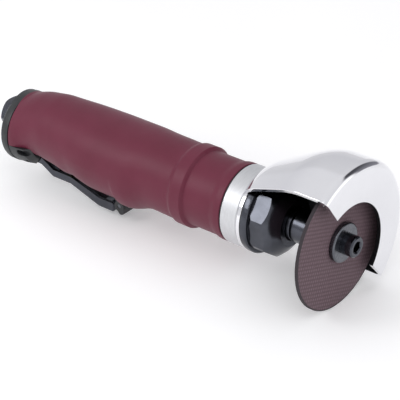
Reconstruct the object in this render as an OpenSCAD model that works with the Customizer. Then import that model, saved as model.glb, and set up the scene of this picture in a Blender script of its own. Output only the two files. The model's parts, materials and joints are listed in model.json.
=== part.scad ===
// Pneumatic cut off tool: air inlet at the rear, wheel and guard at the front.
// Millimetres. X runs from the inlet's mouth to the wheel, Z is up, the lever is below.

/* [Wheel] */
// Diameter of the cutting wheel
wheel_d = 76.2; // [68:0.1:80]
// Thickness of the cutting wheel
wheel_t = 1.6; // [1:0.1:2.5]
// Diameter of the wheel's bore
wheel_bore_d = 9.53; // [9:0.01:11]
// Diameter of the flange on each side of the wheel
flange_d = 22; // [20:0.5:28]
// Diameter of the arbor hub behind the wheel
hub_d = 18.6; // [16:0.1:20]
// Length of the arbor hub up to the middle of the wheel
hub_len = 25; // [20:0.5:30]
// Gap between the clamp nut and the arbor hub
hub_gap = 3; // [2:0.1:5]
// Length of the clamp nut in front of the guard's ring
nut_len = 20; // [16:0.5:24]
// Diameter of the arbor screw's head
screw_head_d = 11.6; // [10:0.2:13]
// Diameter of the arbor screw's shank
screw_d = 5; // [4:0.1:6]

/* [Guard] */
// Angle that the hood covers
guard_sweep = 174; // [140:1:180]
// Angle of the hood's middle from the top
guard_turn = 51.5; // [0:0.5:90]
// Wall of the hood
guard_wall = 2.4; // [1.6:0.1:3]
// Gap between the wheel's edge and the hood
guard_gap = 5; // [3:0.1:7]
// Distance from the wheel's middle to the outer face of the front plate
guard_front = 9; // [7.5:0.1:12]
// Diameter of the round cut-out in the front plate
cutout_d = 57; // [44:0.5:62]
// Distance of the cut-out's centre from the axis, away from the hood
cutout_shift = 5.6; // [3:0.1:8]
// Tilt of the hood's near edge
near_tilt = 5.5; // [0:0.5:6]
// Thickness of the guard's ring
ring_t = 2.3; // [1.8:0.1:3]

/* [Body] */
// Diameter of the housing in the front part of the grip
housing_d = 36.8; // [31:0.1:42]
// Height of the bright collar's step over the housing
collar_step = 3.6; // [3:0.1:5]
// Length of the collar
collar_len = 10.5; // [8:0.5:14]
// Length of the grip with the rear cap
grip_len = 158.8; // [140:0.1:180]
// Length of the rear cap that shows behind the grip
cap_len = 6; // [3:0.5:9]
// Depth of the step from the housing down to the part round the valve
block_step = 1.9; // [1.4:0.1:2.4]
// Depth of the relief in the grip's underside along the lever
grip_relief = 2.2; // [0:0.1:3]
// Wall of the housing round the motor
bay_wall = 2.4; // [2:0.1:3]
// Wall of the grip round its belly
belly_wall = 5.6; // [5:0.1:7]
// Wall of the grip between belly and ridge
waist_wall = 3.3; // [2.6:0.1:4]
// Wall of the grip at the ridge
ridge_wall = 4.6; // [4:0.1:6]
// Wall of the grip in front of the ridge
neck_wall = 2.6; // [2:0.1:3.4]
// Thickness of the gasket between grip and collar
gasket_t = 0.7; // [0.5:0.1:1.2]

/* [Inlet] */
// Length of the inlet that stands out behind the cap
inlet_len = 10; // [8:0.5:16]
// Width across the flats of the inlet bushing
inlet_af = 17; // [16:0.5:18]
// Diameter of the inlet's thread, measured as the bore
inlet_thread_d = 11.4; // [10:0.1:12.4]
// Depth of the inlet's thread
inlet_thread_len = 13; // [11:0.5:15]
// Diameter of the bushing's body in the housing
bushing_d = 16; // [15:0.1:17]

/* [Throttle] */
// Width of the throttle lever
lever_w = 16; // [14.6:0.1:16.4]
// Sheet thickness of the throttle lever
lever_t = 1.8; // [1.2:0.1:2.2]
// Diameter of the lever pin
lever_pin_d = 3; // [2:0.1:3.4]
// Distance from the lever pin to the valve stem
stem_arm = 22.5; // [22:0.5:25]
// Diameter of the valve stem
stem_d = 4; // [3:0.1:4.6]
// Diameter of the valve bushing
valve_bore_d = 10; // [9:0.1:11]
// Diameter of the lock pin
lock_pin_d = 2.4; // [1.8:0.1:3]

/* [Motor] */
// Play between the rotor and the cylinder's bore
rotor_play = 1.7; // [1.3:0.1:2]
// Length of the motor cylinder
cylinder_len = 42; // [34:0.5:50]
// Wall of the motor cylinder with its bore in the middle
cylinder_wall = 3; // [2.6:0.1:3.6]
// Thickness of a vane
vane_t = 1.6; // [1:0.1:2.2]
// Share of the motor's bore that the spindle takes
spindle_share = 0.3125; // [0.28:0.0025:0.33]
// Share of the spindle's diameter that the rear journal takes
journal_share = 0.6; // [0.5:0.01:0.65]

/* [Fits] */
// Radial clearance of a fixed piece in its seat
fit = 0.1; // [0.05:0.01:0.15]
// Radial clearance of a running fit
run = 0.05; // [0.03:0.01:0.09]
// Clearance between pieces that move past each other
clear = 0.4; // [0.3:0.05:0.5]

/* [Hidden] */
$fn = 96;

// Diameters and radii that follow the housing
valve_block_d = housing_d - 2 * block_step;
block_r = valve_block_d / 2;
bay_d = housing_d - 2 * bay_wall;
collar_d = housing_d + 2 * collar_step;
belly_r = housing_d / 2 + belly_wall;
waist_r = housing_d / 2 + waist_wall;
ridge_r = housing_d / 2 + ridge_wall;
neck_r = housing_d / 2 + neck_wall;
cylinder_bore_d = bay_d - 2 * cylinder_wall;
rotor_d = cylinder_bore_d - 2 * rotor_play;
spindle_d = bay_d * spindle_share;
journal_d = spindle_d * journal_share;
bushing_bore_r = bushing_d / 2 + fit;
cap_bore_r = block_r * 0.8182;

// Stations along the axis
wheel_reach = nut_len + hub_gap + hub_len;
x_cap = inlet_len;
x_rows = x_cap + cap_len - 2.5;
x_grip0 = x_cap + cap_len + fit;
x_grip1 = x_cap + grip_len;
x_collar0 = x_grip1 + gasket_t;
x_collar1 = x_collar0 + collar_len;
x_ring0 = x_collar1 + fit;
x_ring1 = x_ring0 + ring_t;
x_nut = x_ring1 + fit;
x_wheel = x_nut + wheel_reach;
x_block = x_rows + 8;
x_step = x_rows + 48;

// Motor stack, counted back from the clamp nut
spigot_len = 27.8;
front_plate_t = 12;
rear_plate_t = 10.7;
x_spigot = x_nut - spigot_len;
x_front1 = x_spigot - fit;
x_front0 = x_front1 - front_plate_t;
x_cyl1 = x_front0 - fit;
x_cyl0 = x_cyl1 - cylinder_len;
x_rear1 = x_cyl0 - fit;
x_rear0 = x_rear1 - rear_plate_t;
x_bay = x_rear0 - fit;
stack_r = bay_d / 2 - fit;
eccentric = rotor_play - 0.15;

// Air ways in the housing
port_r = block_r * 0.194;
port_z = -block_r * 0.5455;
seat_z = port_z + port_r + 1.8;
channel_pitch = (bushing_bore_r + block_r) / 2;
channel_r = (block_r - bushing_bore_r) * 0.286;

// Bearings
front_w = 8;
front_ro = bay_d * 0.40625;
front_ball_r = (front_ro - spindle_d / 2) * 0.2875;
front_pitch = (front_ro + spindle_d / 2) / 2;
x_fb = x_front1 - front_w - fit;
rear_w = 6;
rear_ro = bay_d * 0.296875;
rear_ball_r = (rear_ro - journal_d / 2) * 0.2615;
rear_pitch = (rear_ro + journal_d / 2) / 2 + 0.05;
x_rb = x_rear0 + 0.2;
groove_gap = 0.06;
seal_r = spindle_d / 2 + 4.5;

// Grip: station in front of x_rows where the grip ends at 155.3, radius and centre height
stretch = (x_grip1 - x_rows) / 155.3;
x_ridge = x_grip1 - 35.5 * stretch;
ridge_len = 9.5;
lip_h = 0.9;
grip_rows = [
    [0, block_r + 4.2, -4.9], [2.5, block_r + 3.9, -4.4], [6, block_r + 3.7, -3.2],
    [10, block_r + 2.8, -0.9], [14, block_r + 2.4, 0.6], [18, block_r + 2.4, 1.3],
    [25, block_r + 3.3, 1.45], [31, block_r + 3.8, 1.2], [38, block_r + 4.6, 0.65],
    [45, block_r + 5.5, 0], [52, belly_r - 1, -0.9], [60, belly_r - 0.2, -1.65], [70, belly_r, -1.75],
    [80, belly_r, -1.8], [88, belly_r, -1.8], [93, belly_r - 0.75, -1], [98, belly_r - 1.75, -0.1],
    [103, waist_r, 0.35], [112, waist_r, 0.2], [119, waist_r, 0], [170, waist_r, 0]];

// Throttle
pivot_x = x_rows + 11.5;
pivot_z = -block_r - 2.5;
valve_x = pivot_x + stem_arm;
slot_half = lever_w / 2 + 1.3;
chin_half = block_r + 6;
chin_z = -block_r + 8;
x_chin = pivot_x + 4.5;
lever_back = pivot_x - 2.4;
lever_rear_z = pivot_z - 2.2;
lever_mid_z = pivot_z - 7.2;
lever_front_z = pivot_z - 14;
lever_bend_0 = pivot_x + 5;
lever_bend_1 = pivot_x + 13.8;
lever_bend_2 = pivot_x + 27.2;
lever_bend_3 = pivot_x + 48;
lever_end = pivot_x + 58.5;
lock_x = pivot_x + 63;
lock_z = pivot_z - 9.2;
x_slot = lock_x + 7;
relief_end = x_slot - 1;
relief_run = 2.5;
tongue_half = 2;
stem_tip_z = lever_mid_z + lever_t + 0.3;

function clamp01(t) = min(1, max(0, t));
function ease(t) = let (c = clamp01(t)) c * c * (3 - 2 * c);
function row(x, i = 0) = i > len(grip_rows) - 3 || x < grip_rows[i + 1][0] ? i : row(x, i + 1);
function tangent(i, c) = i == 0 ? (grip_rows[1][c] - grip_rows[0][c]) / (grip_rows[1][0] - grip_rows[0][0])
    : i == len(grip_rows) - 1 ? 0
    : (grip_rows[i + 1][c] - grip_rows[i - 1][c]) / (grip_rows[i + 1][0] - grip_rows[i - 1][0]);
function curve(x, c) = let (
    i = row(x),
    h = grip_rows[i + 1][0] - grip_rows[i][0],
    t = (x - grip_rows[i][0]) / h)
    grip_rows[i][c] * (2 * pow(t, 3) - 3 * t * t + 1) + grip_rows[i + 1][c] * (3 * t * t - 2 * pow(t, 3))
    + tangent(i, c) * h * (pow(t, 3) - 2 * t * t + t) + tangent(i + 1, c) * h * (pow(t, 3) - t * t);
function grip_r(x) = curve((x - x_rows) / stretch, 1) + (ridge_r - waist_r) * ease((x - x_ridge) / 3)
    - (ridge_r - neck_r) * ease((x - x_ridge - ridge_len) / 1.8)
    + lip_h * ease((x - x_grip1 + 8) / 5);
function grip_z(x) = curve((x - x_rows) / stretch, 2);
function relief(x) = grip_relief * ease((x - lever_bend_2) / 10) * (1 - ease((x - relief_end) / relief_run));
function grip_row(x) = [x, grip_r(x), grip_z(x), relief(x)];

// Lathe work: points are station and radius
module lathe(points) {
    rotate([0, 90, 0])
        rotate_extrude()
            polygon([for (p = points) [p[1], p[0]]]);
}

module rod(x0, x1, r) {
    translate([x0, 0, 0])
        rotate([0, 90, 0])
            cylinder(h = x1 - x0, r = r);
}

module tube(x0, x1, ro, ri) {
    lathe([[x0, ri], [x0, ro], [x1, ro], [x1, ri]]);
}

module ring_round(x, r, t) {
    rotate([0, 90, 0])
        translate([0, 0, x])
            rotate_extrude()
                translate([r, 0])
                    circle(r = t, $fn = 32);
}

module across(x, z, half, r) {
    translate([x, half, z])
        rotate([90, 0, 0])
            cylinder(h = 2 * half, r = r);
}

module upright(x, z0, z1, r) {
    translate([x, 0, z0])
        cylinder(h = z1 - z0, r = r);
}

// Side outline in X and Z, drawn out along Y
module plate_y(y0, y1, points) {
    translate([0, y1, 0])
        rotate([90, 0, 0])
            linear_extrude(y1 - y0)
                polygon(points);
}

// Loft of rounds: sections are station, radius, centre height and how far the underside is raised
module loft(sections, sides) {
    count = len(sections);
    points = [for (s = sections, k = [0:sides - 1])
        let (a = 360 * k / sides, r = min(s[1], s[3] * cos(a) + sqrt(s[1] * s[1] - pow(s[3] * sin(a), 2))))
        [s[0], r * sin(a), s[2] + r * cos(a)]];
    walls = [for (i = [0:count - 2], k = [0:sides - 1], h = [0, 1]) let (
        a = i * sides + k,
        b = i * sides + (k + 1) % sides,
        c = a + sides,
        d = b + sides)
        h == 0 ? [a, c, d] : [a, d, b]];
    ends = [[for (k = [0:sides - 1]) k], [for (k = [sides - 1:-1:0]) (count - 1) * sides + k]];
    polyhedron(points = points, faces = concat(walls, ends), convexity = 6);
}

// Coil: one unbroken tube round Z
module coil(r, wire, turns, pitch) {
    rings = 8;
    count = turns * rings;
    points = [for (i = [0:count], k = [0:5]) let (
        a = 360 * i / rings,
        q = r + wire * cos(60 * k))
        [q * cos(a), q * sin(a), pitch * i / rings + wire * sin(60 * k)]];
    walls = [for (i = [0:count - 1], k = [0:5], h = [0, 1]) let (
        a = i * 6 + k,
        b = i * 6 + (k + 1) % 6)
        h == 0 ? [a, a + 6, b + 6] : [a, b + 6, b]];
    ends = [[for (k = [0:5]) k], [for (k = [5:-1:0]) count * 6 + k]];
    polyhedron(points = points, faces = concat(walls, ends), convexity = 6);
}

module motor_housing() {
    color("gainsboro")
        difference() {
            union() {
                rod(x_block, x_step, block_r);
                rod(x_step, x_collar0, housing_d / 2);
                lathe([[x_collar0, 0], [x_collar0, collar_d / 2 - 0.4], [x_collar0 + 0.4, collar_d / 2],
                    [x_collar1 - 0.6, collar_d / 2], [x_collar1, collar_d / 2 - 0.6], [x_collar1, 0]]);
            }
            rod(x_bay, x_collar1 + 1, bay_d / 2);
            rod(x_block - 1, x_block + 14, bushing_bore_r);
            rod(x_block + 12, valve_x, 4);
            upright(valve_x, -valve_block_d, seat_z + 6, valve_bore_d / 2 + fit);
            translate([0, 0, port_z])
                rod(valve_x, x_bay + 1, port_r);
            for (a = [40, 140])
                rotate([a, 0, 0])
                    translate([0, channel_pitch, 0])
                        rod(x_block - 1, x_bay + 1, channel_r);
            translate([x_step - 1, -slot_half, -housing_d])
                cube([x_slot - x_step + 1, 2 * slot_half, housing_d / 2 + 1.2]);
        }
}

module grip_outer() {
    stations = [for (k = [6, 8, 10, 12, 14, 18, 25, 31, 38, 45, 52, 60, 70, 80, 88, 91, 93, 95.5, 98, 100.5,
        103, 112]) x_rows + k * stretch];
    ridge = [0, 0.75, 1.5, 2.25, 3, ridge_len, ridge_len + 0.45, ridge_len + 0.9, ridge_len + 1.35,
        ridge_len + 1.8];
    rows = concat(
        [[x_grip0, grip_r(x_grip0) - 0.7, grip_z(x_grip0), 0]],
        [for (x = [x_grip0 + 0.7, x_rows + 4.5 * stretch]) grip_row(x)],
        [for (x = stations) if (x < relief_end - 1) grip_row(x)],
        [for (x = [relief_end, relief_end + relief_run / 2, relief_end + relief_run]) grip_row(x)],
        [for (x = stations) if (x > relief_end + relief_run + 1) grip_row(x)],
        [for (x = ridge) grip_row(x_ridge + x)],
        [for (x = [8, 6.5, 5, 3, 0.7]) grip_row(x_grip1 - x)],
        [[x_grip1, grip_r(x_grip1) - 0.7, 0, 0]]);
    loft(rows, 56);
}

module grip_sleeve() {
    color("#7a3c4c")
        difference() {
            grip_outer();
            rod(x_cap, x_step + 0.2, block_r + fit);
            rod(x_step - fit, x_grip1 + 1, housing_d / 2 + fit);
            translate([x_cap, -chin_half, chin_z - 2 * block_r])
                cube([x_chin + fit - x_cap, 2 * chin_half, 2 * block_r]);
            translate([x_chin, -slot_half, -3 * block_r])
                cube([x_slot - x_chin, 2 * slot_half, 2 * block_r + 5.5]);
        }
}

module grip_gasket() {
    color("#1c1c1e")
        tube(x_grip1 + 0.05, x_collar0 - 0.05, collar_d / 2 - 0.4, housing_d / 2 + fit);
}

module rear_cap() {
    rim = grip_rows[0][1] - 0.1;
    color("#26282a")
        difference() {
            union() {
                translate([0, 0, grip_rows[0][2] + 0.2])
                    lathe([[x_cap, 0], [x_cap, rim - 2], [x_cap + 0.5, rim - 1.1], [x_cap + 1.2, rim - 0.4],
                        [x_cap + 2.1, rim], [x_cap + cap_len, rim], [x_cap + cap_len, 0]]);
                tube(x_cap + 1, x_block - fit, block_r - fit, cap_bore_r);
                difference() {
                    intersection() {
                        translate([0, 0, grip_rows[0][2] + 0.2])
                            lathe([[x_cap + 3, 0], [x_cap + 3, rim - 0.2], [x_rows + 8, rim - 0.5],
                                [pivot_x + 1.6, rim - 1.4], [x_chin + 1, rim - 6], [x_chin + 1, 0]]);
                        translate([x_cap + 3, -chin_half, chin_z - fit - 2 * block_r])
                            cube([x_chin - x_cap - 3, 2 * chin_half, 2 * block_r]);
                    }
                    rod(x_block - fit, x_chin + 2, block_r + fit);
                }
            }
            rod(x_cap - 1, x_cap + cap_len + 1, bushing_bore_r);
            rod(x_cap + cap_len, x_block, cap_bore_r);
            for (a = [-60:30:240])
                rotate([a, 0, 0])
                    translate([0, (bushing_bore_r + cap_bore_r) / 2, 0])
                        rod(x_cap - 1, x_cap + cap_len + 1, (cap_bore_r - bushing_bore_r) * 0.278);
            translate([lever_back - clear, -lever_w / 2 - clear, -3 * block_r])
                cube([40, lever_w + 2 * clear, 2 * block_r + 6.5]);
            across(pivot_x, pivot_z, 30, lever_pin_d / 2 + fit / 2);
            for (s = [-1, 1])
                translate([pivot_x + 0.2, s * (block_r + 0.8), chin_z - 3.1])
                    rotate([90, 0, 0])
                        linear_extrude(5.4, center = true)
                            union() {
                                square([3.2, 4], center = true);
                                translate([-1.6, 0])
                                    circle(r = 2, $fn = 32);
                                translate([1.6, 0])
                                    circle(r = 2, $fn = 32);
                            }
        }
}

module exhaust_muffler() {
    color("#8d8d86")
        tube(x_cap + cap_len + fit, x_block - fit, cap_bore_r - fit, bushing_bore_r);
}

module inlet_bushing() {
    color("#2b2d30")
        difference() {
            union() {
                intersection() {
                    translate([0, 0, 0])
                        rotate([30, 0, 0])
                            rotate([0, 90, 0])
                                cylinder(h = x_cap - 2, r = inlet_af / sqrt(3), $fn = 6);
                    lathe([[0, 0], [0, inlet_af / 2 - 0.9], [1.4, inlet_af / sqrt(3) - 0.1],
                        [x_cap, inlet_af / sqrt(3) - 0.1], [x_cap, 0]]);
                }
                rod(x_cap - 2.4, x_cap - fit, inlet_af / sqrt(3) - 0.2);
                rod(x_cap - 1, x_block + 4, bushing_d / 2);
                rod(x_block + 3, x_block + 6, bushing_d / 2 - 1.6);
                rod(x_block + 6, x_block + 13.5, bushing_d / 2);
            }
            rod(-1, inlet_thread_len, inlet_thread_d / 2);
            rod(inlet_thread_len - 1, inlet_thread_len + 1.4, inlet_thread_d / 2 - 0.6);
            rod(inlet_thread_len, x_block + 20, 4);
        }
}

module inlet_screen() {
    color("#b9a36a")
        translate([inlet_thread_len + 0.4, 0, 0])
            rotate([0, 90, 0])
                linear_extrude(0.9)
                    difference() {
                        circle(r = inlet_thread_d / 2 - 0.6 - fit);
                        circle(r = 0.55, $fn = 16);
                        for (a = [0:60:300])
                            rotate(a)
                                translate([1.7, 0])
                                    circle(r = 0.55, $fn = 16);
                        for (a = [0:30:330])
                            rotate(a)
                                translate([3.3, 0])
                                    circle(r = 0.55, $fn = 16);
                    }
}

module inlet_o_ring() {
    color("#141414")
        ring_round(x_block + 5, bushing_d / 2 - 0.75, 0.75);
}

module valve_bushing() {
    color("#c2a45a")
        difference() {
            upright(valve_x, -block_r - 1.1, -block_r + 3.9, valve_bore_d / 2);
            upright(valve_x, -block_r - 3.5, -block_r + 6.5, stem_d / 2 + run);
            upright(valve_x, -block_r + 2.1, -block_r + 6.5, stem_d / 2 + 1.3);
        }
}

module valve_seat() {
    color("#d8d2c4")
        difference() {
            upright(valve_x, seat_z - 1.8, seat_z, valve_bore_d / 2);
            upright(valve_x, seat_z - 3, seat_z + 1, stem_d / 2 + 0.8);
        }
}

module valve_stem() {
    color("#c8ccd0")
        union() {
            upright(valve_x, stem_tip_z + stem_d / 2, seat_z + 0.5, stem_d / 2);
            translate([valve_x, 0, stem_tip_z + stem_d / 2])
                sphere(r = stem_d / 2);
            upright(valve_x, seat_z + fit, seat_z + 1.4, valve_bore_d / 2 - 1.1);
        }
}

module stem_o_ring() {
    color("#141414")
        translate([valve_x, 0, -block_r + 2.8])
            rotate_extrude()
                translate([stem_d / 2 + run + 0.6, 0])
                    circle(r = 0.55, $fn = 32);
}

module valve_spring() {
    color("#a9adb2")
        translate([valve_x, 0, seat_z + 1.85])
            coil(valve_bore_d / 2 - 2, 0.35, 3, 1.2);
}

module lever_pin() {
    color("#9a9ea3")
        across(pivot_x, pivot_z, slot_half + 2.5, lever_pin_d / 2);
}

module throttle_lever() {
    half = lever_w / 2;
    low = [[lever_back, lever_rear_z], [lever_bend_0, lever_rear_z], [lever_bend_1, lever_mid_z],
        [lever_bend_2, lever_mid_z], [lever_bend_3, lever_front_z], [lever_end, lever_front_z]];
    color("#2a2d30")
        difference() {
            union() {
                plate_y(-half, half, concat(low, [for (i = [len(low) - 1:-1:0]) low[i] + [0, lever_t]]));
                for (s = [-1, 1])
                    translate([0, s * (half - lever_t / 2), 0])
                        plate_y(-lever_t / 2, lever_t / 2, concat(low, [[lever_end, lever_front_z + 5],
                            [lever_bend_3, lever_front_z + 5], [lever_bend_2, lever_mid_z + 4.2],
                            [lever_bend_1, lever_mid_z + 4.2], [lever_bend_0, pivot_z + 2],
                            [pivot_x + 1.3, pivot_z + 2.4], [lever_back, pivot_z + 1.4]]));
                plate_y(-tongue_half, tongue_half, [[lever_end - 6, lever_front_z + 0.2],
                    [lever_end, lever_front_z + 0.2], [lock_x + 1.6, lock_z - 2.6],
                    [lock_x, lock_z + 2.4], [lever_end - 6, lever_front_z + lever_t]]);
                across(lock_x, lock_z, tongue_half, 2.9);
                for (i = [0:4])
                    translate([lever_end - 2 - 2.4 * i, 0, lever_front_z + 0.1])
                        rotate([90, 0, 0])
                            cylinder(h = lever_w - 2, r = 0.7, center = true, $fn = 24);
            }
            across(pivot_x, pivot_z, 30, lever_pin_d / 2 + run);
            across(lock_x, lock_z, 30, lock_pin_d / 2 + fit / 2);
        }
}

module lock_lever() {
    half = lever_w / 2;
    inner = tongue_half + 1.6;
    prong = half - lever_t - clear;
    color("#232527")
        translate([lock_x, 0, lock_z])
            difference() {
                union() {
                    for (s = [-1, 1]) {
                        translate([0, s * (inner + half) / 2, 0])
                            rotate([90, 0, 0])
                                cylinder(h = half - inner, r = 3.2, center = true);
                        translate([0, s * (inner + half) / 2, 0])
                            plate_y(-(half - inner) / 2, (half - inner) / 2,
                                [[-1.4, -2.8], [0.6, -5], [3, -4.2], [3.4, -0.6], [1.4, 2.8], [-2, 1]]);
                        translate([0, s * (inner + prong) / 2, 0])
                            plate_y(-(prong - inner) / 2, (prong - inner) / 2,
                                [[-2.4, -1.8], [-7.2, 4.6], [-5.4, 6.2], [1, 2.9], [1, -1]]);
                    }
                    plate_y(-half, half, [[0.9, -4.8], [1.6, -4.9], [3, -4.2], [3.2, -2.2], [2.5, -2.4]]);
                }
                across(0, 0, 30, lock_pin_d / 2 + run);
            }
}

module lock_pin() {
    color("#9a9ea3")
        across(lock_x, lock_z, lever_w / 2 - 0.2, lock_pin_d / 2);
}

module lock_spring() {
    color("#b4b8bc")
        translate([lock_x, tongue_half + 0.45, lock_z])
            rotate([-90, 0, 0])
                coil(lock_pin_d / 2 + 0.75, 0.2, 2, 0.45);
}

module motor_cylinder() {
    color("#9fa3a8")
        difference() {
            rod(x_cyl0, x_cyl1, stack_r);
            translate([0, 0, -eccentric])
                rod(x_cyl0 - 1, x_cyl1 + 1, cylinder_bore_d / 2);
            translate([0, 0, stack_r - 1.2])
                rod(x_cyl0 - 1, x_cyl0 + 6, 0.75 + fit / 2);
            for (i = [0:4])
                translate([x_cyl0 + 9 + 6 * i, 0, -2])
                    rotate([90, 0, 0])
                        cylinder(h = 40, r = 1.6, $fn = 32);
        }
}

module rear_end_plate() {
    color("#8e9297")
        difference() {
            rod(x_rear0, x_rear1, stack_r);
            rod(x_rear0 - 1, x_rb + rear_w + fit, rear_ro + fit);
            rod(x_rear0, x_rear1 + 1, journal_d / 2 + 2);
            translate([0, 0, -(rear_ro + fit + stack_r) / 2])
                rod(x_rear0 - 1, x_rear1 + 1, (stack_r - rear_ro - fit) * 0.317);
            translate([0, 0, stack_r - 1.2])
                rod(x_rear1 - 4, x_rear1 + 1, 0.75 + fit / 2);
        }
}

module front_end_plate() {
    color("#8e9297")
        difference() {
            rod(x_front0, x_front1, stack_r);
            rod(x_fb - fit, x_front1 + 1, front_ro + fit);
            rod(x_front0 - 1, x_front1, spindle_d / 2 + 1.6);
        }
}

module cylinder_pin() {
    color("#b4b8bc")
        translate([0, 0, stack_r - 1.2])
            rod(x_rear1 - 3.8, x_cyl0 + 5.8, 0.75);
}

module rotor() {
    color("#b7bbc0")
        difference() {
            union() {
                rod(x_rb + 0.2, x_rb + rear_w + 0.5, journal_d / 2);
                rod(x_rb + rear_w + fit, x_cyl0 + 0.3, journal_d / 2 + 1);
                rod(x_cyl0 + 0.2, x_cyl1 - 0.2, rotor_d / 2);
                rod(x_cyl1 - 0.3, x_fb - fit, spindle_d / 2 + 1);
                rod(x_fb - 1, x_wheel - hub_len + 12, spindle_d / 2);
            }
            for (k = [0:4])
                rotate([72 * k, 0, 0])
                    translate([x_cyl0 - 1, -vane_t / 2 - fit / 2, rotor_d / 2 - 5.6])
                        cube([cylinder_len + 2, vane_t + fit, 8]);
        }
}

module vane(k) {
    color("#6b4a34")
        rotate([72 * k, 0, 0])
            translate([x_cyl0 + 0.3, -vane_t / 2, rotor_d / 2 - 5.6 + fit])
                cube([cylinder_len - 0.6, vane_t, 5.4 - fit]);
}

module vane_1() {
    vane(0);
}

module vane_2() {
    vane(1);
}

module vane_3() {
    vane(2);
}

module vane_4() {
    vane(3);
}

module vane_5() {
    vane(4);
}

// A bearing race is a ring with a round groove for the balls
module race(x, w, ro, ri, pitch, ball) {
    rotate([0, 90, 0])
        translate([0, 0, x])
            rotate_extrude()
                difference() {
                    translate([ri, 0])
                        square([ro - ri, w]);
                    translate([pitch, w / 2])
                        circle(r = ball + groove_gap, $fn = 48);
                }
}

module ball_ring(x, w, pitch, ball, count) {
    for (k = [0:count - 1])
        rotate([360 * k / count, 0, 0])
            translate([x + w / 2, 0, pitch])
                sphere(r = ball, $fn = 32);
}

module ball_cage(x, w, pitch, ball, count) {
    difference() {
        tube(x + w / 2 - ball * 0.3, x + w / 2 + ball * 1.2, pitch + ball * 0.3, pitch - ball * 0.3);
        ball_ring(x, w, pitch, ball + 0.08, count);
    }
}

module rear_bearing_outer_race() {
    color("#c9cdd2")
        race(x_rb, rear_w, rear_ro, rear_pitch + rear_ball_r * 0.6, rear_pitch, rear_ball_r);
}

module rear_bearing_inner_race() {
    color("#c9cdd2")
        race(x_rb, rear_w, rear_pitch - rear_ball_r * 0.6, journal_d / 2 + fit / 4, rear_pitch, rear_ball_r);
}

module rear_bearing_balls() {
    color("#dfe3e8")
        ball_ring(x_rb, rear_w, rear_pitch, rear_ball_r, 7);
}

module rear_bearing_cage() {
    color("#b08d4a")
        ball_cage(x_rb, rear_w, rear_pitch, rear_ball_r, 7);
}

module front_bearing_outer_race() {
    color("#c9cdd2")
        race(x_fb, front_w, front_ro, front_pitch + front_ball_r * 0.6, front_pitch, front_ball_r);
}

module front_bearing_inner_race() {
    color("#c9cdd2")
        race(x_fb, front_w, front_pitch - front_ball_r * 0.6, spindle_d / 2 + fit / 4, front_pitch,
            front_ball_r);
}

module front_bearing_balls() {
    color("#dfe3e8")
        ball_ring(x_fb, front_w, front_pitch, front_ball_r, 8);
}

module front_bearing_cage() {
    color("#b08d4a")
        ball_cage(x_fb, front_w, front_pitch, front_ball_r, 8);
}

module preload_washer() {
    color("#a9adb2")
        tube(x_front1 + fit, x_front1 + 0.9, front_ro - 0.2, front_ro - 2.6);
}

module clamp_nut() {
    nut_r = collar_d / 2 - 1;
    nose_r = seal_r + (nut_r - seal_r) * 0.3043;
    x_flats = x_nut + nut_len * 0.2;
    color("#1f2123")
        difference() {
            union() {
                tube(x_spigot, x_nut + 1, bay_d / 2 - 2 * fit, spindle_d / 2 + 2);
                lathe([[x_nut, 0], [x_nut, collar_d / 2 - 0.2], [x_nut + 0.5, collar_d / 2 + 0.3],
                    [x_flats - 0.4, collar_d / 2 + 0.3], [x_flats + 0.2, collar_d / 2 - 0.4],
                    [x_flats + 0.2, 0]]);
                intersection() {
                    rotate([31, 0, 0])
                        translate([x_flats, 0, 0])
                            rotate([0, 90, 0])
                                rotate(180)
                                    cylinder(h = nut_len * 0.8, r = nut_r + 0.6, $fn = 8);
                    lathe([[x_flats, 0], [x_flats, nut_r - 0.8], [x_nut + nut_len * 0.3, nut_r + 0.2],
                        [x_nut + nut_len * 0.65, nut_r + 0.2], [x_nut + nut_len * 0.8, nut_r - 2.6],
                        [x_nut + nut_len, nose_r], [x_nut + nut_len, 0]]);
                }
            }
            rod(x_spigot - 1, x_nut + nut_len + 10, spindle_d / 2 + 1.6);
            rod(x_spigot - 1, x_spigot + 0.9, front_ro);
            rod(x_nut + nut_len * 0.7, x_nut + nut_len + 10, seal_r);
        }
}

module dust_seal() {
    color("#3a3835")
        tube(x_nut + nut_len * 0.7 + fit, x_nut + nut_len * 0.875, seal_r - fit, spindle_d / 2 + run);
}

// Hood outline: a steep neck, a straight flank, a round shoulder and a rounded front edge
rim_r = wheel_d / 2 + guard_gap + guard_wall;
neck_x = x_ring0;
hood_r = collar_d / 2 + 0.4;
flank_x0 = neck_x + 11.9;
flank_x1 = x_wheel - 21.5;
flank_r0 = hood_r + (rim_r - hood_r) * 0.446;
flank_r1 = hood_r + (rim_r - hood_r) * 0.831;
flank_slope = (flank_r1 - flank_r0) / (flank_x1 - flank_x0);
top_x = x_wheel - 6.5;
face_x = x_wheel + guard_front;
edge_r = 2 * guard_wall;
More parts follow.
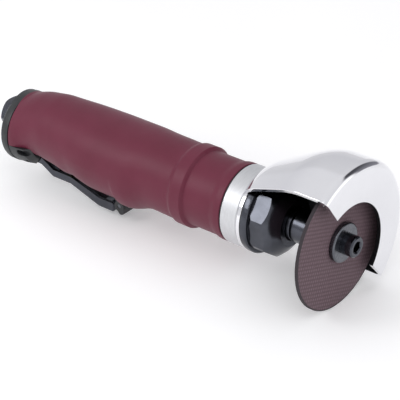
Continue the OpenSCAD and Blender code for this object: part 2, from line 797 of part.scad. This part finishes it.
// Step from the outside of the flank to its inside
wall_step = [flank_slope, -1] * guard_wall / sqrt(1 + flank_slope * flank_slope);
function bend(a, b, c) = [for (i = [0:9]) let (t = i / 10)
    a * (1 - t) * (1 - t) + b * 2 * t * (1 - t) + c * t * t];
function flank_line(p, x) = [x, p[1] + (x - p[0]) * flank_slope];
function flank_top(p, r) = [p[0] + (r - p[1]) / flank_slope, r];
function front_edge(e) = [for (i = [0:6])
    [face_x - edge_r + e * sin(15 * i), rim_r - edge_r + e * cos(15 * i)]];
function hood_side(start, lead, a, b, rim) = concat(
    bend(start, flank_line(a, start[0] + lead), a), bend(b, flank_top(b, rim), [top_x, rim]), [[top_x, rim]]);
function hood_outer() = concat(
    hood_side([neck_x, hood_r], 1.1, [flank_x0, flank_r0], [flank_x1, flank_r1], rim_r), front_edge(edge_r));
function hood_inner() = concat(
    hood_side([neck_x + ring_t, hood_r + 0.5], 0.9, [flank_x0, flank_r0] + wall_step,
        [flank_x1, flank_r1] + wall_step, rim_r - guard_wall), front_edge(edge_r - guard_wall));

module wheel_guard() {
    outer = hood_outer();
    inner = hood_inner();
    start = 180 - guard_turn - guard_sweep / 2;
    color("#e4e6e9")
        difference() {
            union() {
                tube(x_ring0 + 0.15, x_ring1 - 0.15, collar_d / 2 + 0.1, bay_d / 2 + fit);
                difference() {
                    rotate([0, 90, 0])
                        rotate(start)
                            rotate_extrude(angle = guard_sweep + 6, $fn = 180)
                                polygon(concat([[collar_d / 2 - 1, neck_x]],
                                    [for (p = outer) [p[1], p[0]]],
                                    [[cutout_d / 2 - 12, face_x], [cutout_d / 2 - 12, face_x - guard_wall]],
                                    [for (i = [len(inner) - 1:-1:0]) [inner[i][1], inner[i][0]]],
                                    [[collar_d / 2 - 1, neck_x + ring_t]]));
                    rotate([guard_sweep / 2 - guard_turn, 0, 0]) {
                        translate([neck_x - 1, 0, rim_r])
                            rotate([-near_tilt, 0, 0])
                                translate([0, -rim_r, -rim_r])
                                    cube([face_x - neck_x + 2, rim_r, 2 * rim_r]);
                        translate([face_x - guard_wall - 0.4, -rim_r, 0])
                            cube([guard_wall + 1.4, rim_r, 2 * rim_r]);
                    }
                }
            }
            rotate([-guard_turn, 0, 0])
                translate([face_x - guard_wall - 1, 0, -cutout_shift])
                    rotate([0, 90, 0])
                        cylinder(h = guard_wall + 2, r = cutout_d / 2, $fn = 180);
        }
}

module arbor_hub() {
    x1 = x_wheel - wheel_t / 2 - fit / 2;
    x0 = x_wheel - hub_len;
    slinger_x = x_nut + nut_len * 0.875 + clear + fit;
    slinger_r = min(seal_r - 0.6, hub_d / 2 - 0.3);
    color("#3a3d41")
        difference() {
            lathe([[slinger_x, 0], [slinger_x, slinger_r - 0.4], [slinger_x + 0.4, slinger_r],
                [x0 - 0.9, slinger_r], [x0 - 0.9, slinger_r - 1.6], [x0, slinger_r - 1.6],
                [x0, hub_d / 2 - 0.6], [x0 + 0.6, hub_d / 2], [x1 - 3.4, hub_d / 2],
                [x1 - 3, flange_d / 2], [x1, flange_d / 2], [x1, wheel_bore_d / 2 - run],
                [x_wheel + wheel_t / 2 + 1.4, wheel_bore_d / 2 - run], [x_wheel + wheel_t / 2 + 1.4, 0]]);
            rod(slinger_x - 1, x0 + 12.4, spindle_d / 2 + fit / 4);
            rod(x0 + 12, x_wheel + 10, screw_d / 2 + fit / 2);
        }
}

module cutting_wheel() {
    color("#5f4a4e")
        tube(x_wheel - wheel_t / 2, x_wheel + wheel_t / 2, wheel_d / 2, wheel_bore_d / 2);
}

module outer_flange() {
    x0 = x_wheel + wheel_t / 2 + fit / 2;
    color("#85898e")
        lathe([[x0, wheel_bore_d / 2], [x0, flange_d / 2 - 0.2], [x0 + 0.3, flange_d / 2],
            [x0 + 2.4, flange_d / 2], [x0 + 3, flange_d / 2 - 0.6], [x0 + 3, screw_d / 2 + fit],
            [x0 + 1.5, screw_d / 2 + fit], [x0 + 1.5, wheel_bore_d / 2]]);
}

module arbor_screw() {
    x0 = x_wheel + wheel_t / 2 + fit / 2 + 3 + fit / 2;
    color("#33363a")
        difference() {
            union() {
                rod(x_wheel - hub_len + 13, x0 + 1, screw_d / 2);
                lathe([[x0, 0], [x0, screw_head_d / 2], [x0 + 6.3, screw_head_d / 2],
                    [x0 + 7, screw_head_d / 2 - 0.7], [x0 + 7, 0]]);
            }
            translate([x0 + 2.4, 0, 0])
                rotate([0, 90, 0])
                    cylinder(h = 10, r = 3.4, $fn = 6);
            lathe([[x0 + 6.4, 0], [x0 + 6.4, 3.1], [x0 + 8, 4.7], [x0 + 8, 0]]);
        }
}

motor_housing();
grip_sleeve();
grip_gasket();
rear_cap();
exhaust_muffler();
inlet_bushing();
inlet_screen();
inlet_o_ring();
valve_bushing();
valve_seat();
valve_stem();
stem_o_ring();
valve_spring();
lever_pin();
throttle_lever();
lock_lever();
lock_pin();
lock_spring();
motor_cylinder();
rear_end_plate();
front_end_plate();
cylinder_pin();
rotor();
vane_1();
vane_2();
vane_3();
vane_4();
vane_5();
rear_bearing_outer_race();
rear_bearing_inner_race();
rear_bearing_balls();
rear_bearing_cage();
front_bearing_outer_race();
front_bearing_inner_race();
front_bearing_balls();
front_bearing_cage();
preload_washer();
clamp_nut();
dust_seal();
wheel_guard();
arbor_hub();
cutting_wheel();
outer_flange();
arbor_screw();
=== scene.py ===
import json
import math

import bmesh
import bpy
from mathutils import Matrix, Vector


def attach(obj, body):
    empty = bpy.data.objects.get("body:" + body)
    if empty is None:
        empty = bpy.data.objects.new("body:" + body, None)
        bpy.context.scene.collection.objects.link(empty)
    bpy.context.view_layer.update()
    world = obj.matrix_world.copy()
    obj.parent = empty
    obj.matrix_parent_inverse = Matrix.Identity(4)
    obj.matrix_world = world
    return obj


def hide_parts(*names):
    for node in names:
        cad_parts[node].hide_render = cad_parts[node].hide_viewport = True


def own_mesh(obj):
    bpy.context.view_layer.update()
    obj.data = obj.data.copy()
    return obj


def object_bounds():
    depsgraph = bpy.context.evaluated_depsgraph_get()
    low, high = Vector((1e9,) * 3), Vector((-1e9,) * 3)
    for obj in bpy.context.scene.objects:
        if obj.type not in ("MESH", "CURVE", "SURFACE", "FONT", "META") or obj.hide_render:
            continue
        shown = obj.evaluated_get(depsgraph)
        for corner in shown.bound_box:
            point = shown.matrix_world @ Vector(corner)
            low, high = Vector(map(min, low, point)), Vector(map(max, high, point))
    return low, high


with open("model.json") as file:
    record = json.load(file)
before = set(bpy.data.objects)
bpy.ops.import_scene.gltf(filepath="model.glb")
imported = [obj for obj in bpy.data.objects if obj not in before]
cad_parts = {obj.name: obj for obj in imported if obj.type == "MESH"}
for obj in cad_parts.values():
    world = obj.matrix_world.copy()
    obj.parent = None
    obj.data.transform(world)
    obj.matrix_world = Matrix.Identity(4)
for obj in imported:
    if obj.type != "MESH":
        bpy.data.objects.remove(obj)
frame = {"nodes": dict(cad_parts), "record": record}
nodes = frame["nodes"]
start_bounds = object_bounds()
scene = bpy.context.scene

# Camera at the photo's angle
cam_data = bpy.data.cameras.new("photo_camera")
cam_data.sensor_width = 36.0
cam_data.lens = 171.0
cam_data.clip_start = 0.01
cam_data.clip_end = 50.0
cam = bpy.data.objects.new("photo_camera", cam_data)
scene.collection.objects.link(cam)
cam.location = (0.6899, -0.6932, 0.5083)
cam.rotation_euler = Vector((-0.537, 0.676, -0.5045)).to_track_quat("-Z", "Y").to_euler()
scene.camera = cam
scene.view_settings.view_transform = "Standard"


# Material helpers
def new_material(name):
    m = bpy.data.materials.new(name)
    m.use_nodes = True
    t = m.node_tree
    return m, t, t.nodes["Principled BSDF"]


def coords(t, scale=(1, 1, 1), turn=(0, 0, 0)):
    c = t.nodes.new("ShaderNodeTexCoord")
    mp = t.nodes.new("ShaderNodeMapping")
    mp.inputs["Scale"].default_value = scale
    mp.inputs["Rotation"].default_value = turn
    t.links.new(c.outputs["Object"], mp.inputs["Vector"])
    return mp.outputs["Vector"]


def noise(t, vec, scale, detail=3.0, rough=0.55):
    n = t.nodes.new("ShaderNodeTexNoise")
    n.inputs["Scale"].default_value = scale
    n.inputs["Detail"].default_value = detail
    n.inputs["Roughness"].default_value = rough
    t.links.new(vec, n.inputs["Vector"])
    return n.outputs["Fac"]


def ramp(t, fac, stops):
    r = t.nodes.new("ShaderNodeValToRGB")
    e = r.color_ramp.elements
    e[0].position = stops[0][0]
    e[0].color = (*stops[0][1], 1)
    e[1].position = stops[-1][0]
    e[1].color = (*stops[-1][1], 1)
    for p, c in stops[1:-1]:
        k = e.new(p)
        k.color = (*c, 1)
    t.links.new(fac, r.inputs["Fac"])
    return r.outputs["Color"]


def rerange(t, fac, lo, hi, from_lo=0.0, from_hi=1.0):
    r = t.nodes.new("ShaderNodeMapRange")
    r.inputs["From Min"].default_value = from_lo
    r.inputs["From Max"].default_value = from_hi
    r.inputs["To Min"].default_value = lo
    r.inputs["To Max"].default_value = hi
    t.links.new(fac, r.inputs["Value"])
    return r.outputs["Result"]


def bump(t, bsdf, height, strength, distance):
    b = t.nodes.new("ShaderNodeBump")
    b.inputs["Strength"].default_value = strength
    b.inputs["Distance"].default_value = distance
    t.links.new(height, b.inputs["Height"])
    t.links.new(b.outputs["Normal"], bsdf.inputs["Normal"])


def mix(t, fac, a, b):
    m = t.nodes.new("ShaderNodeMix")
    m.data_type = "RGBA"
    t.links.new(fac, m.inputs["Factor"])
    for key, value in (("A", a), ("B", b)):
        socket = next(s for s in m.inputs if s.name == key and s.type == "RGBA")
        if isinstance(value, tuple):
            socket.default_value = (*value, 1)
        else:
            t.links.new(value, socket)
    return next(s for s in m.outputs if s.type == "RGBA")


def times(t, *factors):
    out = factors[0]
    for factor in factors[1:]:
        m = t.nodes.new("ShaderNodeMath")
        m.operation = "MULTIPLY"
        t.links.new(out, m.inputs[0])
        t.links.new(factor, m.inputs[1])
        out = m.outputs["Value"]
    return out


def lin(r, g, b):
    return tuple((c / 255 / 12.92) if c / 255 <= 0.04045 else ((c / 255 + 0.055) / 1.055) ** 2.4
                 for c in (r, g, b))


def plain(name, dark, light, metallic, rough_lo, rough_hi, scale, grain=0.0, stretch=(1, 1, 1)):
    m, t, b = new_material(name)
    v = coords(t, stretch)
    n = noise(t, v, scale)
    t.links.new(ramp(t, n, [(0.3, dark), (0.7, light)]), b.inputs["Base Color"])
    t.links.new(rerange(t, noise(t, v, scale * 2.3), rough_lo, rough_hi), b.inputs["Roughness"])
    b.inputs["Metallic"].default_value = metallic
    if grain:
        bump(t, b, noise(t, v, scale * 9, 2.0), grain, 0.0002)
    return m


# Woven glass in brown resin: two sets of fine threads, and a dark band along the edge
def abrasive(name, edge_r):
    m, t, b = new_material(name)
    threads = []
    for turn in (20, 110):
        w = t.nodes.new("ShaderNodeTexWave")
        w.wave_type = "BANDS"
        w.bands_direction = "Y"
        w.inputs["Scale"].default_value = 2 * math.pi / 20 / 0.0021
        w.inputs["Distortion"].default_value = 0.6
        w.inputs["Detail"].default_value = 1.0
        w.inputs["Detail Scale"].default_value = 2.0
        t.links.new(coords(t, (1, 1, 1), (math.radians(turn), 0, 0)), w.inputs["Vector"])
        threads.append(w.outputs["Fac"])
    top = times(t, *threads)
    weave = ramp(t, top, [(0.0, lin(92, 73, 79)), (0.55, lin(112, 91, 99)), (1.0, lin(124, 103, 111))])
    grit = ramp(t, noise(t, coords(t), 900, 2.0), [(0.35, lin(84, 66, 71)), (0.7, lin(122, 102, 108))])
    patch = rerange(t, noise(t, coords(t), 120, 2.0), 0.0, 0.4)
    cloth = mix(t, patch, weave, grit)
    radius = t.nodes.new("ShaderNodeVectorMath")
    radius.operation = "LENGTH"
    t.links.new(coords(t, (0, 1, 1)), radius.inputs[0])
    edge = rerange(t, radius.outputs["Value"], 0.0, 1.0, edge_r - 0.0011, edge_r - 0.0004)
    t.links.new(mix(t, edge, cloth, lin(51, 45, 49)), b.inputs["Base Color"])
    b.inputs["Roughness"].default_value = 0.82
    bump(t, b, top, 0.25, 0.0003)
    return m


# Polished outside. The inside, whose faces look to the axis or back from the front plate, gets a dark colour
# as painted shade for the hood's hollow, and a duller roughness
def hood_painted_inside_shade(name, wheel_x):
    m = plain(name, lin(232, 232, 235), lin(237, 237, 240), 1.0, 0.08, 0.12, 35)
    t = m.node_tree
    b = t.nodes["Principled BSDF"]
    place = t.nodes.new("ShaderNodeTexCoord")
    outward = t.nodes.new("ShaderNodeVectorMath")
    outward.operation = "NORMALIZE"
    t.links.new(coords(t, (0, 1, 1)), outward.inputs[0])
    facing = t.nodes.new("ShaderNodeVectorMath")
    facing.operation = "DOT_PRODUCT"
    t.links.new(place.outputs["Normal"], facing.inputs[0])
    t.links.new(outward.outputs["Vector"], facing.inputs[1])
    to_axis = rerange(t, facing.outputs["Value"], 1.0, 0.0, -0.3, -0.1)
    normal_x = t.nodes.new("ShaderNodeSeparateXYZ")
    t.links.new(place.outputs["Normal"], normal_x.inputs["Vector"])
    place_x = t.nodes.new("ShaderNodeSeparateXYZ")
    t.links.new(place.outputs["Object"], place_x.inputs["Vector"])
    plate_back = times(t, rerange(t, normal_x.outputs["X"], 1.0, 0.0, -0.9, -0.7),
                       rerange(t, place_x.outputs["X"], 0.0, 1.0, wheel_x, wheel_x + 0.001))
    inside = t.nodes.new("ShaderNodeMath")
    inside.operation = "MAXIMUM"
    t.links.new(to_axis, inside.inputs[0])
    t.links.new(plate_back, inside.inputs[1])
    # Inside mask: the base colour goes dark as painted shade; the rougher value is the inside's real duller
    # surface
    for socket, dull_and_painted_shade in (("Base Color", lin(44, 45, 47)), ("Roughness", (0.45, 0.45, 0.45))):
        bright = b.inputs[socket].links[0].from_socket
        t.links.new(mix(t, inside.outputs["Value"], bright, dull_and_painted_shade), b.inputs[socket])
    return m


def box(name):
    pts = [nodes[name].matrix_world @ Vector(c) for c in nodes[name].bound_box]
    return [(min(p[i] for p in pts) * 1000, max(p[i] for p in pts) * 1000) for i in range(3)]


MM = 0.001
WHEEL_R = (box("cutting_wheel")[1][1] - box("cutting_wheel")[1][0]) / 2
WHEEL_X = sum(box("cutting_wheel")[0]) / 2

mats = {
    "burgundy_grip": plain("burgundy_grip", lin(100, 35, 54), lin(107, 40, 60), 0.0, 0.42, 0.5, 45, 0.22),
    "bright_housing": plain("bright_housing", lin(208, 209, 211), lin(218, 219, 221), 1.0, 0.46, 0.52, 300,
                            0.0, (6, 1, 1)),
    "chrome_guard": hood_painted_inside_shade("chrome_guard", WHEEL_X * MM),
    "black_steel": plain("black_steel", lin(74, 76, 82), lin(86, 88, 95), 1.0, 0.18, 0.25, 110, 0.05),
    "black_plastic": plain("black_plastic", lin(34, 36, 38), lin(44, 46, 48), 0.0, 0.4, 0.52, 150, 0.2),
    "black_rubber": plain("black_rubber", lin(16, 16, 17), lin(24, 24, 25), 0.0, 0.6, 0.8, 150, 0.2),
    "felt": plain("felt", lin(62, 60, 57), lin(84, 82, 78), 0.0, 0.85, 0.95, 400, 0.6),
    "brass": plain("brass", lin(180, 148, 80), lin(205, 172, 98), 1.0, 0.22, 0.35, 100),
    "white_plastic": plain("white_plastic", lin(212, 205, 190), lin(224, 218, 204), 0.0, 0.35, 0.5, 100),
    "steel": plain("steel", lin(168, 171, 175), lin(198, 201, 205), 1.0, 0.2, 0.32, 120, 0.0, (6, 1, 1)),
    "vane_resin": plain("vane_resin", lin(96, 66, 46), lin(124, 88, 62), 0.0, 0.55, 0.7, 200, 0.3),
    "grey_steel": plain("grey_steel", lin(92, 94, 100), lin(112, 114, 120), 1.0, 0.22, 0.34, 120),
    "wheel_abrasive": abrasive("wheel_abrasive", WHEEL_R * MM),
}

mats["burgundy_grip"].node_tree.nodes["Principled BSDF"].inputs["Specular IOR Level"].default_value = 0.3

slot_of = {s["node"]: s["material_slot"] for s in frame["record"]["subparts"]}
for name, obj in nodes.items():
    obj.data.materials.clear()
    obj.data.materials.append(mats[slot_of[name]])
    for poly in obj.data.polygons:
        poly.material_index = 0

# Softened edges on the solids that show
for name, width in (("throttle_lever", 0.9), ("lock_lever", 0.5), ("rear_cap", 0.35), ("inlet_bushing", 0.3),
                    ("clamp_nut", 0.35), ("arbor_screw", 0.3), ("outer_flange", 0.25), ("arbor_hub", 0.25)):
    weld = nodes[name].modifiers.new("weld", "WELD")
    weld.merge_threshold = 0.000002
    soft = nodes[name].modifiers.new("edges", "BEVEL")
    soft.width = width * MM
    soft.segments = 3
    soft.limit_method = "ANGLE"
    soft.angle_limit = math.radians(28)
    soft.harden_normals = True

# Grip: the same sections as the solid, with finer steps
X_GRIP0, X_GRIP1 = box("grip_sleeve")[0]
X_ROWS = X_GRIP0 - 2.6
X_RIDGE = X_GRIP1 - 35.5
X_RELIEF = X_ROWS + 38.7
X_SLOT = X_ROWS + 81.5
X_STEP = X_ROWS + 47.9
X_CHIN = box("rear_cap")[0][1] + 0.1
BELLY, WAIST, RIDGE, NECK = 24.0, 21.7, 23.0, 21.0
RIDGE_LEN = 9.5
LIP = 0.9
RELIEF = 2.2
BLOCK_R, HOUSING_R = 16.6, 18.5
SLOT_HALF, SLOT_TOP, CHIN_TOP = 9.3, -11.0, -8.5
# Rows of the grip: station in front of X_ROWS, radius and centre height
ROWS = [
    (0, 20.7, -4.9), (2.5, 20.4, -4.4), (6, 20.2, -3.2), (10, 19.3, -0.9), (14, 18.9, 0.6),
    (18, 18.9, 1.3), (25, 19.8, 1.45), (31, 20.3, 1.2), (38, 21.1, 0.65), (45, 22, 0),
    (52, BELLY - 1, -0.9), (60, BELLY - 0.2, -1.65), (70, BELLY, -1.75), (80, BELLY, -1.8),
    (88, BELLY, -1.8), (93, BELLY - 0.75, -1), (98, BELLY - 1.75, -0.1), (103, WAIST, 0.35),
    (112, WAIST, 0.2), (119, WAIST, 0), (170, WAIST, 0)]


def ease(t):
    t = min(1.0, max(0.0, t))
    return t * t * (3 - 2 * t)


def tangent(i, c):
    if i == 0:
        return (ROWS[1][c] - ROWS[0][c]) / (ROWS[1][0] - ROWS[0][0])
    if i == len(ROWS) - 1:
        return 0.0
    return (ROWS[i + 1][c] - ROWS[i - 1][c]) / (ROWS[i + 1][0] - ROWS[i - 1][0])


def curve(x, c):
    i = 0
    while i < len(ROWS) - 2 and x >= ROWS[i + 1][0]:
        i += 1
    h = ROWS[i + 1][0] - ROWS[i][0]
    t = (x - ROWS[i][0]) / h
    return (ROWS[i][c] * (2 * t ** 3 - 3 * t * t + 1) + ROWS[i + 1][c] * (3 * t * t - 2 * t ** 3)
            + tangent(i, c) * h * (t ** 3 - 2 * t * t + t) + tangent(i + 1, c) * h * (t ** 3 - t * t))


def grip_r(x):
    return (curve(x - X_ROWS, 1) + (RIDGE - WAIST) * ease((x - X_RIDGE) / 3)
            - (RIDGE - NECK) * ease((x - X_RIDGE - RIDGE_LEN) / 1.8) + LIP * ease((x - X_GRIP1 + 8) / 5))


def grip_z(x):
    return curve(x - X_ROWS, 2)


# How far the underside is raised beside the lever
def relief(x):
    return RELIEF * ease((x - X_RELIEF) / 10) * (1 - ease((x - X_SLOT + 1) / 2.5))


# Mesh helpers
def make(name, verts, faces, slot, body, replaced=(), sharp=35):
    mesh = bpy.data.meshes.new(name)
    mesh.from_pydata([tuple(c * MM for c in v) for v in verts], [], faces)
    bm = bmesh.new()
    bm.from_mesh(mesh)
    bmesh.ops.recalc_face_normals(bm, faces=bm.faces)
    bm.to_mesh(mesh)
    bm.free()
    mesh.shade_smooth()
    mesh.set_sharp_from_angle(angle=math.radians(sharp))
    mesh.materials.append(mats[slot])
    obj = bpy.data.objects.new(name, mesh)
    scene.collection.objects.link(obj)
    if body:
        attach(obj, body)
        if replaced:
            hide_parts(*replaced)
    return obj


def strips(rings, closed_rings):
    faces = []
    count = len(rings)
    for i in range(count if closed_rings else count - 1):
        a = rings[i]
        b = rings[(i + 1) % count]
        n = len(a)
        for k in range(n):
            faces.append((a[k], b[k], b[(k + 1) % n], a[(k + 1) % n]))
    return faces


def block(name, x, y, z):
    verts = [(a, b, c) for a in x for b in y for c in z]
    faces = [(0, 1, 3, 2), (4, 6, 7, 5), (0, 4, 5, 1), (2, 3, 7, 6), (0, 2, 6, 4), (1, 5, 7, 3)]
    return make(name, verts, faces, "burgundy_grip", None)


def cut(obj, cutter):
    mod = obj.modifiers.new("cut", "BOOLEAN")
    mod.operation = "DIFFERENCE"
    mod.solver = "EXACT"
    mod.object = cutter
    bpy.context.view_layer.update()
    done = bpy.data.meshes.new_from_object(obj.evaluated_get(bpy.context.evaluated_depsgraph_get()))
    obj.modifiers.clear()
    old = obj.data
    done.name = old.name
    obj.data = done
    bpy.data.meshes.remove(old)
    bpy.data.objects.remove(cutter)


# Grip sleeve with its bore, the lever's slot and the place of the cap's chin
SIDES = 144
BEYOND = 60
sections = [(X_GRIP0, grip_r(X_GRIP0) - 0.7), (X_GRIP0 + 0.15, grip_r(X_GRIP0) - 0.35)]
steps = int((X_GRIP1 - X_GRIP0 - 1) / 0.75)
stations = [X_GRIP0 + 0.5 + (X_GRIP1 - X_GRIP0 - 1) * i / steps for i in range(steps + 1)]
sections += [(x, grip_r(x)) for x in stations]
sections += [(X_GRIP1 - 0.2, grip_r(X_GRIP1) - 0.3), (X_GRIP1, grip_r(X_GRIP1) - 0.7)]
verts = []
rings = []
for x, r in sections:
    rings.append(range(len(verts), len(verts) + SIDES))
    lift = relief(x)
    for k in range(SIDES):
        a = 2 * math.pi * k / SIDES
        q = min(r, lift * math.cos(a) + math.sqrt(r * r - (lift * math.sin(a)) ** 2))
        verts.append((x, q * math.sin(a), grip_z(x) + q * math.cos(a)))
for x, r in ((X_GRIP1, HOUSING_R), (X_STEP, HOUSING_R), (X_STEP, BLOCK_R), (X_GRIP0, BLOCK_R)):
    rings.append(range(len(verts), len(verts) + SIDES))
    for k in range(SIDES):
        a = 2 * math.pi * k / SIDES
        verts.append((x, r * math.sin(a), r * math.cos(a)))
grip = make("grip", verts, strips(rings, True), "burgundy_grip", "housing", ("grip_sleeve",))
cut(grip, block("chin_cutter", (X_GRIP0 - 5, X_CHIN), (-BEYOND, BEYOND), (-BEYOND, CHIN_TOP)))
cut(grip, block("slot_cutter", (X_CHIN - 1, X_SLOT), (-SLOT_HALF, SLOT_HALF), (-BEYOND, SLOT_TOP)))
grip.data.shade_smooth()
grip.data.set_sharp_from_angle(angle=math.radians(35))

# Wheel guard: hood, front plate and ring
RING0 = box("wheel_guard")[0][0]
RING_T, RING_BORE, COLLAR = 2.3, 16.1, 22.0
WALL, GAP, FRONT = 2.4, 5.0, 9.0
RIM = WHEEL_R + GAP + WALL
HOOD_R = COLLAR + 0.4
FLANK_X0, FLANK_X1 = RING0 + 11.9, WHEEL_X - 21.5
FLANK_R0 = HOOD_R + (RIM - HOOD_R) * 0.446
FLANK_R1 = HOOD_R + (RIM - HOOD_R) * 0.831
SLOPE = (FLANK_R1 - FLANK_R0) / (FLANK_X1 - FLANK_X0)
TOP_X, FACE_X, EDGE = WHEEL_X - 6.5, WHEEL_X + FRONT, 2 * WALL
IN_X = WALL * SLOPE / math.sqrt(1 + SLOPE * SLOPE)
IN_R = -WALL / math.sqrt(1 + SLOPE * SLOPE)


def bend(a, b, c, steps):
    out = []
    for i in range(steps):
        t = i / steps
        out.append(tuple(a[k] * (1 - t) ** 2 + b[k] * 2 * t * (1 - t) + c[k] * t * t for k in (0, 1)))
    return out


def hood_side(start, lead, a, b, rim):
    first = (start[0] + lead, a[1] + (start[0] + lead - a[0]) * SLOPE)
    second = (b[0] + (rim - b[1]) / SLOPE, rim)
    return bend(start, first, a, 24) + bend(b, second, (TOP_X, rim), 24) + [(TOP_X, rim)]


def front_edge(e):
    turns = [math.radians(7.5 * i) for i in range(13)]
    return [(FACE_X - EDGE + e * math.sin(a), RIM - EDGE + e * math.cos(a)) for a in turns]


outer = hood_side((RING0, HOOD_R), 1.1, (FLANK_X0, FLANK_R0), (FLANK_X1, FLANK_R1), RIM) + front_edge(EDGE)
inner = hood_side((RING0 + RING_T, HOOD_R + 0.5), 0.9, (FLANK_X0 + IN_X, FLANK_R0 + IN_R),
                  (FLANK_X1 + IN_X, FLANK_R1 + IN_R), RIM - WALL) + front_edge(EDGE - WALL)
SWEEP, TURN, STEPS, TILT = 174.0, 51.5, 240, 5.5
CUT_R, CUT_S = 28.5, 5.6


# Angle by which the near edge goes past the plane through the axis, for a point at radius r
def past(x, r):
    if x > FACE_X - WALL - 0.4:
        return 0.0
    tilt = math.radians(TILT)
    return max(0.0, math.asin(min(1.0, RIM * math.sin(tilt) / r)) - tilt)


verts = []
rings = []
for j in range(STEPS + 1):
    psi = math.radians(-SWEEP / 2 + SWEEP * j / STEPS)
    # the cut-out's centre lies away from the hood, so the plate is widest in the hood's middle
    c = -CUT_S * math.cos(psi) + math.sqrt(CUT_R ** 2 - (CUT_S * math.sin(psi)) ** 2)
    prof = [(RING0, COLLAR - 1)] + outer + [(FACE_X, c), (FACE_X - WALL, c)] + inner[::-1]
    prof += [(RING0 + RING_T, COLLAR - 1)]
    rings.append(range(len(verts), len(verts) + len(prof)))
    for x, r in prof:
        ang = math.radians(TURN) + psi - past(x, r) * (1 - j / STEPS)
        verts.append((x, r * math.sin(ang), r * math.cos(ang)))
faces = strips(rings, False)
faces += [tuple(rings[0]), tuple(rings[-1])]
INSET, RING_R = 0.15, COLLAR + 0.1
ring_x0, ring_x1 = RING0 + INSET, RING0 + RING_T - INSET
ring_prof = [(ring_x0, RING_BORE), (ring_x0, RING_R - 0.2), (ring_x0 + 0.2, RING_R), (ring_x1 - 0.2, RING_R),
             (ring_x1, RING_R - 0.2), (ring_x1, RING_BORE)]
rings = []
for j in range(SIDES):
    ang = 2 * math.pi * j / SIDES
    rings.append(range(len(verts), len(verts) + len(ring_prof)))
    for x, r in ring_prof:
        verts.append((x, r * math.sin(ang), r * math.cos(ang)))
faces += strips(rings, True)
guard = make("guard_hood", verts, faces, "chrome_guard", "guard", ("wheel_guard",))
soft = guard.modifiers.new("edges", "BEVEL")
soft.width = 0.5 * MM
soft.segments = 3
soft.limit_method = "ANGLE"
soft.angle_limit = math.radians(50)

# Valve spring: a copy of the solid's coil, riding the housing in place of the solid
coil = bpy.data.objects.new("valve_coil", nodes["valve_spring"].data.copy())
scene.collection.objects.link(coil)
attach(coil, "housing")
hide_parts("valve_spring")
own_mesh(coil)

# Floor
floor_mesh = bpy.data.meshes.new("floor")
low = start_bounds[0][2]
floor_mesh.from_pydata([(-8, -8, low), (8, -8, low), (8, 8, low), (-8, 8, low)], [], [(0, 1, 2, 3)])
floor = bpy.data.objects.new("floor", floor_mesh)
scene.collection.objects.link(floor)
floor_mat = plain("floor_white", lin(244, 244, 244), lin(248, 248, 248), 0, 0.8, 0.9, 3)
t = floor_mat.node_tree
path = t.nodes.new("ShaderNodeLightPath")
seen = t.nodes.new("ShaderNodeMath")
seen.operation = "MAXIMUM"
t.links.new(path.outputs["Is Camera Ray"], seen.inputs[0])
t.links.new(path.outputs["Is Glossy Ray"], seen.inputs[1])
glow = rerange(t, seen.outputs["Value"], 0.0, 0.19)
t.links.new(glow, t.nodes["Principled BSDF"].inputs["Emission Strength"])
t.nodes["Principled BSDF"].inputs["Emission Color"].default_value = (1, 1, 1, 1)
floor.data.materials.append(floor_mat)

# World: a bright sky with a dark card behind the tool and a bright one to its right, white where the
# camera looks straight at it
world = bpy.data.worlds.new("studio")
scene.world = world
world.use_nodes = True
t = world.node_tree
back = t.nodes["Background"]
way = t.nodes.new("ShaderNodeTexCoord")
split = t.nodes.new("ShaderNodeSeparateXYZ")
t.links.new(way.outputs["Generated"], split.inputs["Vector"])
sky = ramp(t, split.outputs["Z"], [(0.0, (0.8, 0.8, 0.82)), (0.3, (0.74, 0.74, 0.77)),
                                   (1.0, (0.84, 0.84, 0.86))])
dark = ramp(t, split.outputs["Z"], [(0.0, (0.26, 0.26, 0.29)), (0.5, (0.07, 0.07, 0.08))])
slant = t.nodes.new("ShaderNodeMath")
slant.operation = "MULTIPLY_ADD"
slant.inputs[1].default_value = -0.6
t.links.new(split.outputs["Z"], slant.inputs[0])
t.links.new(split.outputs["X"], slant.inputs[2])
dark_card = times(t, rerange(t, slant.outputs["Value"], 0.12, 1.0, -0.17, -0.07),
                  rerange(t, split.outputs["X"], 1.0, 0.0, 0.64, 0.72),
                  rerange(t, split.outputs["Y"], 0.0, 1.0, 0.42, 0.5))
bright_card = times(t, rerange(t, split.outputs["X"], 0.0, 1.0, 0.68, 0.76),
                    rerange(t, split.outputs["Y"], 0.0, 1.0, 0.0, 0.2),
                    rerange(t, split.outputs["Z"], 1.0, 0.0, 0.3, 0.5))
sky = mix(t, dark_card, sky, dark)
sky = mix(t, bright_card, sky, (1.4, 1.4, 1.4))
path = t.nodes.new("ShaderNodeLightPath")
t.links.new(mix(t, path.outputs["Is Camera Ray"], sky, (1.0, 1.0, 1.0)), back.inputs["Color"])
back.inputs["Strength"].default_value = 1.0


def area(name, loc, target, size, power):
    d = bpy.data.lights.new(name, "AREA")
    d.shape = "DISK"
    d.size = size
    d.energy = power
    o = bpy.data.objects.new(name, d)
    scene.collection.objects.link(o)
    o.location = loc
    o.rotation_euler = (Vector(target) - Vector(loc)).to_track_quat("-Z", "Y").to_euler()
    return o


area("key", (-0.3, -0.64, 0.5), (0.19, 0, 0.01), 0.4, 1.8)
area("front", (0.7, -0.65, 0.96), (0.12, 0, 0), 0.7, 2.2)
